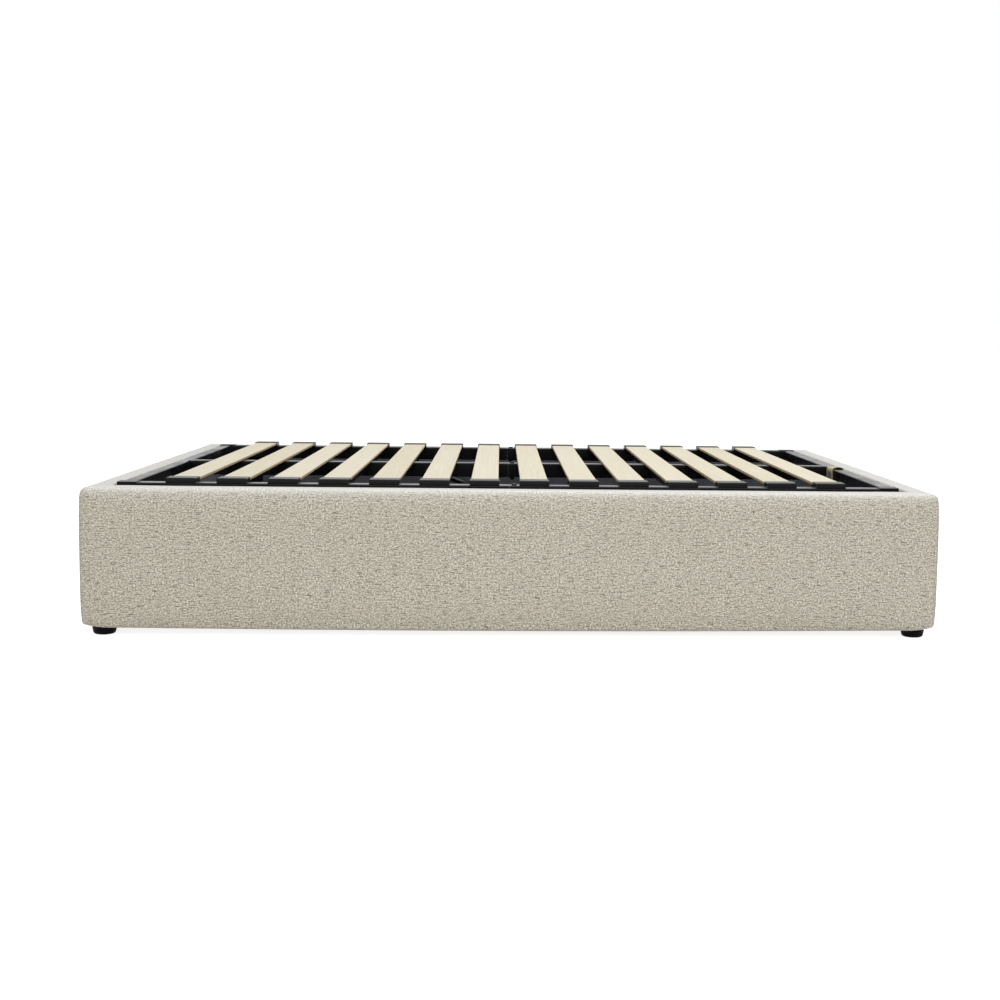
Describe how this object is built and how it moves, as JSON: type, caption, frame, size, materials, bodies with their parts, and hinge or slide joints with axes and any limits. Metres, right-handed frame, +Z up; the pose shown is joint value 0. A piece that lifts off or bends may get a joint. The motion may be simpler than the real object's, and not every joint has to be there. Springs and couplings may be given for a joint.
{
  "type": "lift-up storage bed base",
  "caption": "Upholstered rectangular bed base on low feet, with a slatted steel frame that hinges up on gas struts over a lined storage space.",
  "frame": {"origin": "on the floor, under the middle of the box", "axes": "+X towards the foot end, which lifts; +Y towards the back side, away from the pictured side; +Z up"},
  "size_m": [2.06, 1.56, 0.3703],
  "materials": {
    "cover_fabric": "beige slub weave over foam, matt",
    "board_wood": "raw particle board and pine",
    "grey_lining": "thin grey non-woven lining",
    "floor_board": "grey faced fibreboard",
    "foot_plastic": "black moulded plastic",
    "frame_steel": "satin black powder coat",
    "plate_steel": "black powder coat on pressed plate",
    "zinc_steel": "bright zinc plate",
    "black_bolts": "black oxide",
    "cap_plastic": "black moulded plastic",
    "slat_ply": "pale lacquered birch plywood",
    "webbing": "cream woven webbing",
    "strut_paint": "gloss black paint",
    "rod_chrome": "polished and hard plated"
  },
  "bodies": {
    "base": {"side_board_front": "board_wood", "side_board_back": "board_wood", "head_board": "board_wood", "foot_board": "board_wood", "cover_front": "cover_fabric", "cover_back": "cover_fabric", "cover_head": "cover_fabric", "cover_foot": "cover_fabric", "wall_lining": "grey_lining", "corner_brackets": "zinc_steel", "panel_bolts": "black_bolts", "corner_feet": "foot_plastic", "centre_feet": "foot_plastic", "floor_beam": "board_wood", "ledger_front": "board_wood", "ledger_back": "board_wood", "floor_panel_head": "floor_board", "floor_panel_middle": "floor_board", "floor_panel_foot": "floor_board", "rest_brackets": "plate_steel", "hinge_plate_front": "plate_steel", "hinge_plate_back": "plate_steel", "hinge_pins": "zinc_steel", "strut_plate_front": "plate_steel", "strut_plate_back": "plate_steel"},
    "lift_frame": {"rail_front_head": "frame_steel", "rail_front_foot": "frame_steel", "rail_back_head": "frame_steel", "rail_back_foot": "frame_steel", "end_rail_head": "frame_steel", "end_rail_foot": "frame_steel", "centre_rail_head": "frame_steel", "centre_rail_foot": "frame_steel", "cross_rails": "frame_steel", "splice_sleeves": "zinc_steel", "splice_bolts": "black_bolts", "rail_end_plugs": "cap_plastic", "strut_bracket_front": "plate_steel", "strut_bracket_back": "plate_steel", "slat_01": "slat_ply", "slat_02": "slat_ply", "slat_03": "slat_ply", "slat_04": "slat_ply", "slat_05": "slat_ply", "slat_06": "slat_ply", "slat_07": "slat_ply", "slat_08": "slat_ply", "slat_09": "slat_ply", "slat_10": "slat_ply", "slat_11": "slat_ply", "slat_12": "slat_ply", "slat_13": "slat_ply", "slat_14": "slat_ply", "slat_caps_front": "cap_plastic", "slat_caps_back": "cap_plastic", "pull_strap": "webbing"},
    "cylinder_front": {"strut_cylinder_front": "strut_paint"},
    "rod_front": {"strut_rod_front": "rod_chrome"},
    "cylinder_back": {"strut_cylinder_back": "strut_paint"},
    "rod_back": {"strut_rod_back": "rod_chrome"}
  },
  "joints": [
    {"name": "lift", "type": "hinge", "parent": "base", "child": "lift_frame", "pos_m": [-0.875, 0, 0.338], "axis": [0, -1, 0], "range_deg": [0, 30]},
    {"name": "strut_front_turn", "type": "hinge", "parent": "base", "child": "cylinder_front", "pos_m": [0.205, -0.662, 0.105], "axis": [0, -1, 0], "range_deg": [-18.8, 0]},
    {"name": "strut_front_stroke", "type": "slide", "parent": "cylinder_front", "child": "rod_front", "axis": [-0.9373, 0, 0.3484], "range_m": [0, 0.191]},
    {"name": "strut_back_turn", "type": "hinge", "parent": "base", "child": "cylinder_back", "pos_m": [0.205, 0.662, 0.105], "axis": [0, -1, 0], "range_deg": [-18.8, 0]},
    {"name": "strut_back_stroke", "type": "slide", "parent": "cylinder_back", "child": "rod_back", "axis": [-0.9373, 0, 0.3484], "range_m": [0, 0.191]}
  ],
  "couplings": [
    {"joint": "strut_front_turn", "follows": "lift", "ratio": -0.62533},
    {"joint": "strut_front_stroke", "follows": "lift", "m_per_rad": 0.36252},
    {"joint": "strut_back_turn", "follows": "lift", "ratio": -0.62533},
    {"joint": "strut_back_stroke", "follows": "lift", "m_per_rad": 0.36252}
  ]
}
